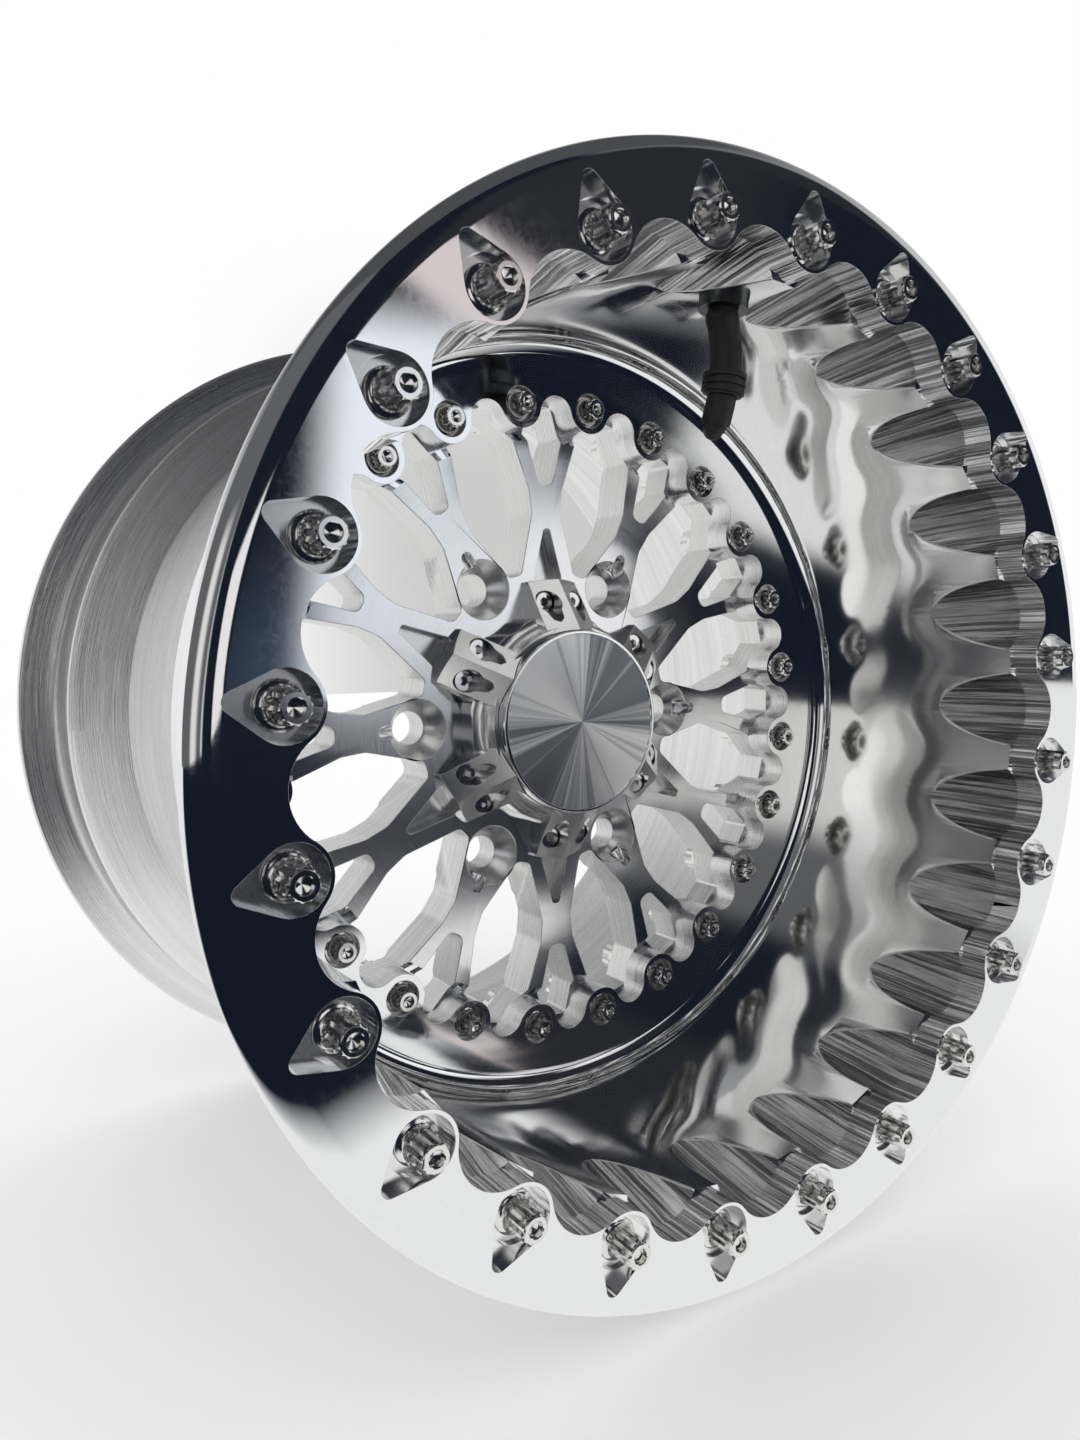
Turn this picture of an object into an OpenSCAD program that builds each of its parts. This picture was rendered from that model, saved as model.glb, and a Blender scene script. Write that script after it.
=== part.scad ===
// Beadlock wheel: a polished locking ring and front barrel, a raw rear barrel and a machined
// centre with forked spokes, bolted together round the inner flange.
// Heights run along the axle from the hub mounting face, positive to the front.

/* [Lug pattern] */
// Diameter of the circle through the lug holes
lug_circle_d = 139.7; // [136:0.1:143]
// Diameter of the straight part of a lug hole
lug_hole_d = 15; // [13:0.5:16]
// Diameter of a lug seat at the front face
lug_mouth_d = 27; // [24:0.5:28]
// Diameter of the hub bore
hub_bore_d = 78.1; // [74:0.1:82]

/* [Wheel centre] */
// Thickness of the hub pad
hub_t = 24; // [22:0.5:28]
// Thickness of the centre's outer ring
web_ring_t = 16; // [12:0.5:17]
// How far the outer ring sits in front of the mounting face
web_ring_back = 4; // [3:0.5:6]
// How far the backs of the spokes sit in front of the mounting face
spoke_back = 2; // [1:0.5:3]
// Depth of the pointed pockets between the lug holes
pocket_depth = 7; // [3:0.5:10]
// Depth of the notch outside each lug seat
notch_depth = 5; // [2:0.5:8]

/* [Inner flange] */
// Distance of the circle of assembly bolts inside the barrel's wall
flange_bolt_inset = 28.9; // [27.5:0.1:30]
// Width of flange left between two arches
flange_land_w = 19.2; // [17:0.1:21]
// Thickness of the front barrel's flange
front_flange_t = 8; // [7:0.5:11]
// Thickness of the rear barrel's flange
rear_flange_t = 6.5; // [5:0.5:8]

/* [Front barrel] */
// Inner radius of the barrel
barrel_r = 172; // [169:0.5:174]
// Wall of the front barrel
front_wall = 6.5; // [5:0.5:8]
// Depth from the locking ring's seat to the flange
dish_depth = 117.5; // [105:0.5:135]
// Width of wall left between two flutes of the mouth
flute_crest_w = 8.3; // [7.2:0.1:10]
// Length of the flutes along the axle
flute_len = 40; // [32:1:46]
// Height of the front bead seat over the barrel's inner wall
front_seat_rise = 16.5; // [15:0.1:18]

/* [Rear barrel] */
// Wall of the rear barrel
rear_wall = 6.2; // [5:0.1:8]
// Depth from the centre's outer ring to the rear edge
rear_depth = 167; // [150:1:190]
// Height of the rear bead seat over the front barrel's inner wall
rear_seat_rise = 16.6; // [15:0.1:18]
// Height of the rear flange over its bead seat
rear_lip_h = 18.6; // [14:0.1:21]

/* [Locking ring] */
// Height of the ring's edge over the bead seat
lock_lip_h = 17.8; // [14:0.1:21]
// Thickness of the ring
lock_t = 12; // [10:0.5:15]
// Distance of the circle of locking bolts outside the barrel's inner wall
lock_bolt_outset = 8; // [7:0.1:9]
// Depth of the round part of each pocket
pocket_sink = 6; // [4:0.5:7]
// How far the pointed end of each pocket reaches out from its bolt
pocket_reach = 17.3; // [15:0.1:19]
// Width of the polished edge round the scallops
lock_bevel = 1.3; // [0.6:0.1:1.6]

/* [Fasteners] */
// Thread diameter of the locking bolts
lock_bolt_d = 8; // [6:0.5:9]
// Length of a locking bolt under its head
lock_bolt_l = 20; // [18:0.5:22]
// Diameter of the threaded inserts
insert_d = 12; // [11:0.5:13]
// Thread diameter of the assembly bolts
flange_bolt_d = 8; // [6:0.5:9]
// Height of an assembly nut
nut_h = 8; // [6:0.5:10]
// Thickness of an assembly washer
washer_t = 1.6; // [1:0.1:2.5]
// Thread diameter of the cap screws
cap_screw_d = 5; // [4:0.5:6]

/* [Hub cap] */
// Radius of the cap disc
cap_r = 41.3; // [38:0.1:42.5]
// Height of the cap disc's rim over the mounting face
cap_top = 49.7; // [46:0.1:54]
// Distance of the cap screws' circle inside the lug circle
screw_inset = 14.75; // [13.5:0.05:16]
// How far the carrier's arms reach past the cap screws' circle
carrier_margin = 9.9; // [8:0.1:11.5]
// Radius left clear round each lug hole for a socket
socket_r = 22; // [20:0.1:23]

/* [Valve] */
// Depth of the valve behind the locking ring's seat
valve_depth = 32; // [29:0.5:36]
// Diameter of the valve's sleeve
valve_d = 12.5; // [11:0.1:14]
// Radius of the bend of the valve
valve_bend_r = 60; // [52:0.1:90]

/* [Hidden] */

$fn = 96;
eps = 0.01;

// Counts that the pattern of the centre fixes
lug_count = 6;
spoke_count = 12;
bolt_count = 2 * spoke_count;
pitch = 360 / bolt_count;

// Heights of the joint faces
web_ring_front = web_ring_back + web_ring_t;
joint_z = web_ring_front + rear_flange_t;
step_z = joint_z + front_flange_t;
lip_z = step_z + dish_depth;
lock_front = lip_z + lock_t;
rear_end = web_ring_front - rear_depth;

// Fits
spigot_gap = 0.5;
hole_gap = 0.3;
thread_gap = 0.1;
seat_gap = 0.2;
blend = 0.04;

// Radii, each from the barrel's inner wall outwards or inwards
barrel_step = 3.8;
lug_r = lug_circle_d / 2;
front_outer_r = barrel_r + front_wall;
front_seat_r = barrel_r + front_seat_rise;
lock_r = front_seat_r + lock_lip_h;
lock_bolt_r = barrel_r + lock_bolt_outset;
rear_seat_r = barrel_r + rear_seat_rise;
rear_flange_r = rear_seat_r + rear_lip_h;
rear_outer_r = barrel_r - barrel_step;
rear_inner_r = rear_outer_r - rear_wall;
web_outer_r = rear_inner_r - spigot_gap;
flange_bolt_r = barrel_r - flange_bolt_inset;

// Scallops of the locking ring and arches of the flange
lock_arch_inset = 18;
lock_arch_at = lock_bolt_r - lock_arch_inset;
lock_arch_r = lock_arch_at * sin(pitch / 2) - flute_crest_w / 2;
flange_arch_inset = 4.6;
flange_arch_at = flange_bolt_r - flange_arch_inset;
flange_arch_r = flange_arch_at * sin(pitch / 2) - flange_land_w / 2;

// Colours
polished = [0.88, 0.89, 0.9];
raw = [0.76, 0.77, 0.78];
steel = [0.66, 0.67, 0.68];
rubber = [0.06, 0.06, 0.07];
dark_steel = [0.18, 0.18, 0.19];
brass = [0.72, 0.58, 0.3];

// Points of an arc, and of an outline with every corner rounded to its own radius
function arc(x, y, rx, ry, a0, a1, n) =
    [for (i = [0:n]) let (a = a0 + (a1 - a0) * i / n) [x + rx * cos(a), y + ry * sin(a)]];
function unit(v) = v / norm(v);
function corner(p, a, b, r, n) =
    let (u = unit(a - p), v = unit(b - p), half = acos(u * v) / 2,
         m = p + unit(u + v) * r / sin(half), s = p + u * r / tan(half) - m,
         turn = (180 - 2 * half) * sign(u[0] * v[1] - u[1] * v[0]))
    [for (i = [0:n]) let (t = -turn * i / n)
        m + [s[0] * cos(t) - s[1] * sin(t), s[0] * sin(t) + s[1] * cos(t)]];
function soft(pts, radii, n = 5) =
    [for (i = [0:len(pts) - 1])
        each corner(pts[i], pts[(i + len(pts) - 1) % len(pts)], pts[(i + 1) % len(pts)],
            radii[i], n)];
function mirrored(half) =
    concat(half, [for (i = [len(half) - 1:-1:0]) [half[i][0], -half[i][1]]]);
function twice(list) = concat(list, [for (i = [len(list) - 1:-1:0]) list[i]]);

// Distance from a scallop to the bolt beside it, and the lobe that just meets the scallop
function reach(arch_at, bolt_at) = norm([bolt_at * cos(pitch / 2) - arch_at,
    bolt_at * sin(pitch / 2)]);
function lobe(arch_at, bolt_at, arch_r) = reach(arch_at, bolt_at) - arch_r + blend;
function meet_r(arch_at, bolt_at, arch_r) =
    let (t = arch_r / reach(arch_at, bolt_at))
    norm([arch_at + t * (bolt_at * cos(pitch / 2) - arch_at), t * bolt_at * sin(pitch / 2)]);

module wheel_axes() rotate([90, 0, 0]) children();

module round_the_bolts(at) {
    for (k = [0:bolt_count - 1]) rotate((k + 0.5) * pitch) translate([at, 0, 0]) children();
}

module round_the_arches(at) {
    for (k = [0:bolt_count - 1]) rotate(k * pitch) translate([at, 0, 0]) children();
}

module drill(d, z0, z1) translate([0, 0, z0]) cylinder(d = d, h = z1 - z0);

// Scalloped hole through what lies between z0 and z1
module scalloped_hole(arch_at, bolt_at, arch_r, z0, z1) {
    translate([0, 0, z0 - 1]) linear_extrude(height = z1 - z0 + 2) difference() {
        union() {
            circle(r = meet_r(arch_at, bolt_at, arch_r));
            round_the_arches(arch_at) circle(r = arch_r);
        }
        round_the_bolts(bolt_at) circle(r = lobe(arch_at, bolt_at, arch_r));
    }
}

// Bevel round the front edge of a scalloped hole
module scalloped_bevel(arch_at, bolt_at, arch_r, bevel, z1) {
    start = 0.1;
    rise = start + bevel + 1;
    lobe_r = lobe(arch_at, bolt_at, arch_r) + start;
    translate([0, 0, z1 + 1 - rise]) difference() {
        union() {
            cylinder(r = meet_r(arch_at, bolt_at, arch_r + bevel / 2), h = rise);
            round_the_arches(arch_at)
                cylinder(r1 = arch_r - start, r2 = arch_r - start + rise, h = rise);
        }
        round_the_bolts(bolt_at) cylinder(r1 = lobe_r, r2 = lobe_r - rise, h = rise);
    }
}

// Twelve-pointed outline across its flats
module twelve_point(flats) {
    for (a = [0, 30]) rotate(a) circle(d = flats / cos(30), $fn = 6);
}

// Flanged twelve-point bolt, its bearing face at z = 0
module flange_bolt(d, l, flats, flange_d, flange_t, head_h, recess_d) {
    difference() {
        union() {
            cylinder(d = flange_d, h = flange_t);
            translate([0, 0, flange_t]) cylinder(d1 = flange_d - 1.6, d2 = flats, h = 2);
            linear_extrude(height = head_h - 1.2) twelve_point(flats);
            cylinder(d = flats * 0.9, h = head_h);
        }
        translate([0, 0, head_h - 1.6]) cylinder(d = recess_d, h = 3);
    }
    translate([0, 0, -l]) cylinder(d = d, h = l + eps);
}

// Locking ring

lock_edge_w = 10;
lock_edge_h = 6.5;
clamp_step = 2.5;
clamp_r = front_seat_r + clamp_step;
clamp_drop = 2.5;
tip_r = 3;
pocket_r = 10.3;
tail_depth = 4.5;
tail_len = pocket_reach - tip_r;

module tail_outline() {
    lean = asin((pocket_r - tip_r) / tail_len);
    slack = 0.02;
    a = pocket_r - slack;
    b = tip_r - slack;
    polygon([[a * sin(lean), a * cos(lean)], [tail_len + b * sin(lean), b * cos(lean)],
        [tail_len + b * sin(lean), -b * cos(lean)], [a * sin(lean), -a * cos(lean)]]);
    translate([tail_len, 0]) circle(r = tip_r);
}

module beadlock_ring() {
    section = concat(
        [[lock_bolt_r - 16, lip_z], [clamp_r, lip_z], [clamp_r, lip_z - clamp_drop],
            [clamp_r + 5, lip_z - clamp_drop], [lock_r - 3.3, lip_z - 0.5]],
        arc(lock_r - lock_edge_w, lock_front - lock_edge_h, lock_edge_w, lock_edge_h, 0, 90, 10),
        [[lock_bolt_r - 16, lock_front]]);
    color(polished) wheel_axes() difference() {
        rotate_extrude() polygon(section);
        scalloped_hole(lock_arch_at, lock_bolt_r, lock_arch_r, lip_z, lock_front);
        scalloped_bevel(lock_arch_at, lock_bolt_r, lock_arch_r, lock_bevel, lock_front);
        round_the_bolts(lock_bolt_r) {
            drill(lock_bolt_d + 2 * hole_gap, lip_z - 1, lock_front);
            drill(2 * pocket_r, lock_front - pocket_sink, lock_front + 1);
            translate([0, 0, lock_front - tail_depth])
                linear_extrude(height = tail_depth + 1) tail_outline();
        }
    }
}

module beadlock_bolts() {
    color(steel) wheel_axes() round_the_bolts(lock_bolt_r)
        translate([0, 0, lock_front - pocket_sink])
            flange_bolt(lock_bolt_d, lock_bolt_l, lock_bolt_d + 2, lock_bolt_d + 7, 1.8, 14, 5);
}

// Front barrel

flute_slope = 10.2;
insert_l = 16;
seat_w = 10.5;
hump_r = front_seat_r + 11.5;
corner_r = 9;
mouth_r = barrel_r - 4.2;

module flute() {
    translate([lock_arch_at, 0, lip_z]) rotate([0, flute_slope, 0])
        translate([0, 0, -flute_len / cos(flute_slope) - 20])
            cylinder(r = lock_arch_r, h = flute_len / cos(flute_slope) + 30);
}

module valve_axes() {
    rotate((bolt_count / 4 - 0.5) * pitch) translate([0, 0, lip_z - valve_depth]) children();
}

module radial_rod(r0, r1, d) translate([r0, 0, 0]) rotate([0, 90, 0]) cylinder(d = d, h = r1 - r0);

module front_barrel() {
    section = concat(
        [[flange_bolt_r - 14, joint_z], [rear_outer_r, joint_z], [front_outer_r, joint_z + 13.5],
            [front_outer_r, lip_z - 40], [hump_r - 14, lip_z - 26], [hump_r - 2, lip_z - 20],
            [hump_r, lip_z - 18], [hump_r, lip_z - 13], [hump_r - 1.5, lip_z - 11.5],
            [front_seat_r, lip_z - seat_w], [front_seat_r, lip_z], [mouth_r, lip_z],
            [barrel_r - 0.2, lip_z - flute_len]],
        arc(barrel_r - corner_r, step_z + corner_r, corner_r, corner_r, 0, -90, 8),
        [[flange_bolt_r - 14, step_z]]);
    color(polished) wheel_axes() difference() {
        rotate_extrude() polygon(section);
        scalloped_hole(flange_arch_at, flange_bolt_r, flange_arch_r, joint_z, step_z);
        round_the_bolts(flange_bolt_r) {
            drill(flange_bolt_d + 2 * hole_gap, joint_z - 1, step_z);
            drill(2 * head_sink_r, step_z - head_sink, step_z + 1);
        }
        round_the_arches(0) flute();
        round_the_bolts(lock_bolt_r)
            drill(insert_d + 2 * thread_gap, lip_z - insert_l - 6, lip_z + 1);
        translate([0, 0, joint_z - 1]) linear_extrude(height = seal_sink + 1)
            difference() { circle(r = seal_r + seal_w / 2); circle(r = seal_r - seal_w / 2); }
        valve_axes() {
            radial_rod(barrel_r - 9, front_outer_r + 15, neck_d + 2 * seat_gap);
            radial_rod(barrel_r - 9, nut_seat_r, valve_d + 8);
            radial_rod(valve_seat_r, front_outer_r + 20, valve_head_d + 4);
        }
    }
}

module beadlock_inserts() {
    color(dark_steel) wheel_axes() round_the_bolts(lock_bolt_r) difference() {
        drill(insert_d, lip_z - insert_l, lip_z);
        drill(lock_bolt_d + 2 * thread_gap, lip_z - insert_l - 1, lip_z + 1);
    }
}

// Seal between the barrels

seal_inset = 5.2;
seal_r = rear_outer_r - seal_inset;
seal_w = 4;
seal_sink = 2.6;
seal_d = seal_sink - 0.1;

module barrel_seal() {
    color(rubber) wheel_axes() translate([0, 0, joint_z + seal_sink / 2])
        rotate_extrude() translate([seal_r, 0]) circle(d = seal_d);
}

// Rear barrel

seat_taper = 1.6;
rear_cavity_r = rear_seat_r - rear_wall + 0.6;
rear_mouth_r = rear_seat_r + 1.9;
drop_end = rear_end + 69;
rear_ramp = 26;

module rear_barrel() {
    section = [[flange_bolt_r - 14, web_ring_front], [rear_inner_r, web_ring_front],
        [rear_inner_r, drop_end + 4], [rear_cavity_r, drop_end - rear_ramp + 4],
        [rear_cavity_r, rear_end + 7], [rear_mouth_r, rear_end],
        [rear_flange_r - 2, rear_end], [rear_flange_r, rear_end + 2],
        [rear_flange_r, rear_end + 5], [rear_flange_r - 2, rear_end + 7],
        [rear_seat_r + seat_taper + 8, rear_end + 9], [rear_seat_r + seat_taper + 2, rear_end + 12],
        [rear_seat_r + seat_taper, rear_end + 16], [rear_seat_r, rear_end + 38],
        [rear_seat_r + 1.9, rear_end + 41], [rear_seat_r - 2.1, rear_end + 47],
        [rear_outer_r, drop_end], [rear_outer_r, joint_z], [flange_bolt_r - 14, joint_z]];
    color(raw) wheel_axes() difference() {
        rotate_extrude() polygon(section);
        scalloped_hole(flange_arch_at, flange_bolt_r, flange_arch_r, web_ring_front, joint_z);
        round_the_bolts(flange_bolt_r)
            drill(flange_bolt_d + 2 * hole_gap, web_ring_front - 1, joint_z + 1);
    }
}

// Fasteners of the inner flange

head_sink_r = 7.7;
head_sink = 4.5;
stack_t = step_z - head_sink - web_ring_back;

module assembly_bolts() {
    color(steel) wheel_axes() round_the_bolts(flange_bolt_r)
        translate([0, 0, step_z - head_sink])
            flange_bolt(flange_bolt_d, stack_t + washer_t + nut_h + 2.4, flange_bolt_d + 1.5,
                2 * head_sink_r - 1.2, 1.6, 10.1, 4.5);
}

module assembly_washers() {
    color(steel) wheel_axes() round_the_bolts(flange_bolt_r) difference() {
        drill(flange_bolt_d + 8, web_ring_back - washer_t, web_ring_back);
        drill(flange_bolt_d + 2 * thread_gap, web_ring_back - washer_t - 1, web_ring_back + 1);
    }
}

module assembly_nuts() {
    nut_top = web_ring_back - washer_t;
    color(steel) wheel_axes() round_the_bolts(flange_bolt_r)
        translate([0, 0, nut_top - nut_h]) difference() {
            union() {
                linear_extrude(height = nut_h) twelve_point(flange_bolt_d + 4);
                translate([0, 0, nut_h - 1.4]) cylinder(d = flange_bolt_d + 7, h = 1.4);
            }
            drill(flange_bolt_d + 2 * thread_gap, -1, nut_h + 1);
        }
}

// Wheel centre

web_slope = 4;
window_start_r = 68.8;
drawn_bolt_r = 143.1;

// A window's corner, drawn for one circle of assembly bolts, moved to suit the real one
function stretched(p) =
    let (k = (flange_bolt_r - window_start_r) / (drawn_bolt_r - window_start_r),
         r = window_start_r + (p[0] - window_start_r) * k)
    [r, p[1] * r / p[0]];

// The pad slopes down before the flanges' lobes begin
web_edge_r = flange_bolt_r - lobe(flange_arch_at, flange_bolt_r, flange_arch_r) - seat_gap - web_slope;
pad_r = 86;
window_end_r = flange_bolt_r + 1.9;
wide_window = concat([[window_end_r, 6.2]],
    [for (p = [[131, 16.2], [105, 18.6], [94, 16.9], [window_start_r, 3.4]]) stretched(p)]);
wide_radii = [2, 2.5, 8, 8, 3.3];
fork_window = concat([[window_end_r, 6.2]],
    [for (p = [[131, 10], [108.6, 3.7]]) stretched(p)]);
fork_radii = [2, 2.5, 3.6];
point_pocket = [[64.6, 7.9], [88.6, 1.6]];
point_radii = [1.6, 1.5];

module cut_outline(half, radii, z0, z1) {
    translate([0, 0, z0]) linear_extrude(height = z1 - z0)
        polygon(soft(mirrored(half), twice(radii)));
}

module lug_seat() {
    cone_h = (lug_mouth_d - lug_hole_d) / 2 / tan(30);
    notch_tip = 2.6;
    drill(lug_hole_d, -1, hub_t + 1);
    translate([0, 0, hub_t - cone_h])
        cylinder(d1 = lug_hole_d, d2 = lug_mouth_d + 2 * tan(30), h = cone_h + 1);
    translate([0, 0, hub_t - notch_depth]) linear_extrude(height = notch_depth + 1) {
        translate([18.6 - notch_tip, 0]) circle(r = notch_tip);
        polygon([[0, 4.4], [18.6 - notch_tip, notch_tip - 0.02],
            [18.6 - notch_tip, 0.02 - notch_tip], [0, -4.4]]);
    }
}

module wheel_centre() {
    section = [[hub_bore_d / 2, 0], [pad_r, 0], [pad_r + spoke_back, spoke_back],
        [web_edge_r, spoke_back], [web_edge_r + 4, web_ring_back], [web_outer_r, web_ring_back],
        [web_outer_r, web_ring_front], [web_edge_r + web_slope, web_ring_front],
        [web_edge_r, hub_t], [hub_bore_d / 2, hub_t]];
    color(polished) wheel_axes() difference() {
        rotate_extrude() polygon(section);
        for (k = [0:spoke_count - 1]) rotate(k * 2 * pitch) {
            cut_outline(fork_window, fork_radii, -1, hub_t + 1);
            rotate(pitch) cut_outline(wide_window, wide_radii, -1, hub_t + 1);
        }
        for (k = [0:lug_count - 1]) rotate(k * 360 / lug_count) {
            translate([lug_r, 0, 0]) lug_seat();
            rotate(180 / lug_count)
                cut_outline(point_pocket, point_radii, hub_t - pocket_depth, hub_t + 1);
        }
        round_the_bolts(flange_bolt_r)
            drill(flange_bolt_d + 2 * hole_gap, web_ring_back - 1, web_ring_front + 1);
        place_cap_screws() drill(cap_screw_d + 2 * thread_gap, hub_t - screw_bite - 2, hub_t + 1);
        translate([0, 0, -1])
            cylinder(d1 = hub_bore_d + 6, d2 = hub_bore_d, h = 3);
    }
}

// Hub cap

screw_at = lug_r - screw_inset;
carrier_r = screw_at + carrier_margin;
screw_spread = 8.1;
screw_seat_z = hub_t + 3;
screw_head_h = 5;
screw_head_d = cap_screw_d + 3.5;
screw_bite = 12;
hollow_r = 36;
cap_t = 9.7;
cap_seat = cap_top - cap_t;
web_t = 4;
plug_r = 30;
ridge_outer_z = hub_t + 9;
ridge_inner_z = cap_top - 1.2;
ridge_inner_r = 43;
arm_half = 13.3;
roof_fall = 24;
saddle_r = 49;

module place_cap_screws() {
    for (k = [0:lug_count - 1], side = [-1, 1])
        rotate((k + 0.5) * 360 / lug_count + side * screw_spread)
            translate([screw_at, 0, 0]) children();
}

// Gable-roofed arm: its ridge climbs from the outer end to the cap
module carrier_arm() {
    run = carrier_r - ridge_inner_r;
    climb = atan((ridge_inner_z - ridge_outer_z) / run);
    drop = arm_half * 1.4 * tan(roof_fall);
    intersection() {
        translate([hollow_r + 1, -arm_half, hub_t])
            cube([carrier_r - hollow_r - 1, 2 * arm_half, 40]);
        translate([0, 0, hub_t]) cylinder(r = carrier_r, h = 40);
        translate([carrier_r, 0, ridge_outer_z]) rotate([0, climb, 0]) rotate([0, -90, 0])
            translate([0, 0, -30]) linear_extrude(height = 90)
                polygon([[0, 0], [-drop, arm_half * 1.4], [-60, arm_half * 1.4],
                    [-60, -arm_half * 1.4], [-drop, -arm_half * 1.4]]);
    }
}

module cap_carrier() {
    core = concat([[plug_r - 1, hub_t], [saddle_r, hub_t], [saddle_r, hub_t + 9]],
        arc(saddle_r, cap_seat + 1, saddle_r - cap_r - 2, cap_seat - hub_t - 8, 255, 180, 5),
        [[cap_r + 2, cap_seat + 4], [plug_r - 1, cap_seat + 4]]);
    color(polished) wheel_axes() difference() {
        union() {
            rotate_extrude() polygon(core);
            for (k = [0:lug_count - 1]) rotate((k + 0.5) * 360 / lug_count) carrier_arm();
        }
        for (k = [0:lug_count - 1]) rotate(k * 360 / lug_count) translate([lug_r, 0, 0])
            drill(2 * socket_r, hub_t - 1, cap_top + 1);
        drill(2 * hollow_r, hub_t - 1, cap_seat - web_t);
        drill(2 * (plug_r + seat_gap), hub_t, cap_seat + 1);
        drill(2 * (cap_r + seat_gap), cap_seat, cap_top + 10);
        place_cap_screws() {
            drill(cap_screw_d + 2 * seat_gap, hub_t - 1, hub_t + 8);
            drill(screw_head_d + 1.6, screw_seat_z, cap_top + 10);
            translate([0, 0, screw_seat_z + 2]) screw_tail();
        }
    }
}

// Pointed run-out of a screw pocket, towards the cap
module screw_tail() {
    wide = screw_head_d / 2;
    linear_extrude(height = 30)
        polygon([[0, wide], [-8, 2.2], [-9.5, 0], [-8, -2.2], [0, -wide]]);
}

module cap_disc() {
    face = cap_top - 0.5;
    section = [[0, cap_seat - web_t - 3], [plug_r - 1, cap_seat - web_t - 3],
        [plug_r, cap_seat - web_t - 2], [plug_r, cap_seat - 3], [plug_r - 1.6, cap_seat - 3],
        [plug_r - 1.6, cap_seat - 1], [plug_r, cap_seat - 1], [plug_r, cap_seat],
        [cap_r, cap_seat], [cap_r, cap_top - 0.4], [cap_r - 0.4, cap_top],
        [cap_r - 1.1, cap_top], [cap_r - 1.6, face], [0, face]];
    color(polished) wheel_axes() rotate_extrude() polygon(section);
}

module cap_seal() {
    color(rubber) wheel_axes() translate([0, 0, cap_seat - 2])
        rotate_extrude() translate([plug_r - 0.75, 0]) circle(d = 1.6);
}

module cap_screws() {
    color(steel) wheel_axes() place_cap_screws() {
        difference() {
            drill(screw_head_d, screw_seat_z, screw_seat_z + screw_head_h);
            translate([0, 0, screw_seat_z + screw_head_h - 2.5])
                cylinder(d = cap_screw_d / cos(30) * 0.8, h = 5, $fn = 6);
        }
        drill(cap_screw_d, hub_t - screw_bite, screw_seat_z + eps);
    }
}

// Valve: a sleeve that leaves the barrel wall and bends forward on its way to the cap

neck_d = 11.3;
valve_head_d = 19;
valve_seat_r = barrel_r + 12.5;
nut_seat_r = barrel_r - 0.7;
valve_half = 22.2;
bend_x = barrel_r - 9 - valve_half;
bend_z = -sqrt(valve_bend_r * valve_bend_r - valve_half * valve_half);
bend_start = acos(valve_half / valve_bend_r);
bend_turn = 180 - 2 * bend_start;

// Piece of a bent rod between two shares of the bend
module bent(f0, f1, d) {
    translate([bend_x, 0, bend_z]) rotate([90, 0, 0]) rotate(bend_start + f0 * bend_turn)
        rotate_extrude(angle = (f1 - f0) * bend_turn) translate([valve_bend_r, 0]) circle(d = d);
}

module bend_end(f) {
    a = bend_start + f * bend_turn;
    translate([bend_x + valve_bend_r * cos(a), 0, bend_z + valve_bend_r * sin(a)]) children();
}

module valve_stem() {
    color(rubber) wheel_axes() valve_axes() difference() {
        union() {
            radial_rod(barrel_r - 9, valve_seat_r + 3, neck_d);
            radial_rod(valve_seat_r + 2, valve_seat_r + 5, valve_head_d);
            bend_end(0) sphere(d = valve_d + 0.5);
            bent(0.01, 0.5, valve_d);
            bent(0.48, 0.8, 8);
        }
        bent(0.5, 0.9, 3.4);
    }
}

module valve_seal() {
    color(rubber) wheel_axes() valve_axes() difference() {
        radial_rod(valve_seat_r, valve_seat_r + 2, valve_head_d);
        radial_rod(valve_seat_r - 1, valve_seat_r + 3, neck_d + 0.1);
    }
}

module valve_nut() {
    color(dark_steel) wheel_axes() valve_axes() difference() {
        radial_rod(nut_seat_r - 4.9, nut_seat_r, valve_d + 7);
        radial_rod(barrel_r - 7, barrel_r, neck_d + seat_gap);
    }
}

module valve_collar() {
    color(rubber) wheel_axes() valve_axes() difference() {
        union() {
            bent(0.505, 0.69, 15);
            for (f = [0.515, 0.575, 0.635]) bent(f, f + 0.035, 17);
        }
        bent(0.4, 0.8, 8.2);
    }
}

module valve_core() {
    color(brass) wheel_axes() valve_axes() bent(0.53, 0.79, 3);
}

module valve_cap() {
    color(rubber) wheel_axes() valve_axes() difference() {
        union() {
            bent(0.695, 0.93, 11.5);
            bent(0.92, 0.985, 9);
            bend_end(0.98) sphere(d = 8);
        }
        bent(0.6, 0.82, 8.3);
    }
}

beadlock_ring();
front_barrel();
rear_barrel();
wheel_centre();
beadlock_bolts();
beadlock_inserts();
assembly_bolts();
assembly_nuts();
assembly_washers();
barrel_seal();
cap_carrier();
cap_disc();
cap_seal();
cap_screws();
valve_stem();
valve_seal();
valve_nut();
valve_collar();
valve_core();
valve_cap();
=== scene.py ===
import bpy
import bmesh
import math
from mathutils import Matrix, Vector


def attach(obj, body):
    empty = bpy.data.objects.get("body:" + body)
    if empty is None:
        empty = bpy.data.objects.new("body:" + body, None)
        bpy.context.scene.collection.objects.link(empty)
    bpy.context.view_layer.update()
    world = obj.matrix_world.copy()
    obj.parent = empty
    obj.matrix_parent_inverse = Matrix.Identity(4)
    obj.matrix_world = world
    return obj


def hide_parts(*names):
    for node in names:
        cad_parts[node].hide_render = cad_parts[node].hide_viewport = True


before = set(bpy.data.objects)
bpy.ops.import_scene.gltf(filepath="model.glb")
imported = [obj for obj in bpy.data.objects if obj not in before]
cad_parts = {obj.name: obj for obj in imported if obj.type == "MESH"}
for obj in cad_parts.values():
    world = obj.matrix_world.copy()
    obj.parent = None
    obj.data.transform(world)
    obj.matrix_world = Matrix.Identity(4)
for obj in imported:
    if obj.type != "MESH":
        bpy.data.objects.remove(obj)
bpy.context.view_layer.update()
mm = 0.001
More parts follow.
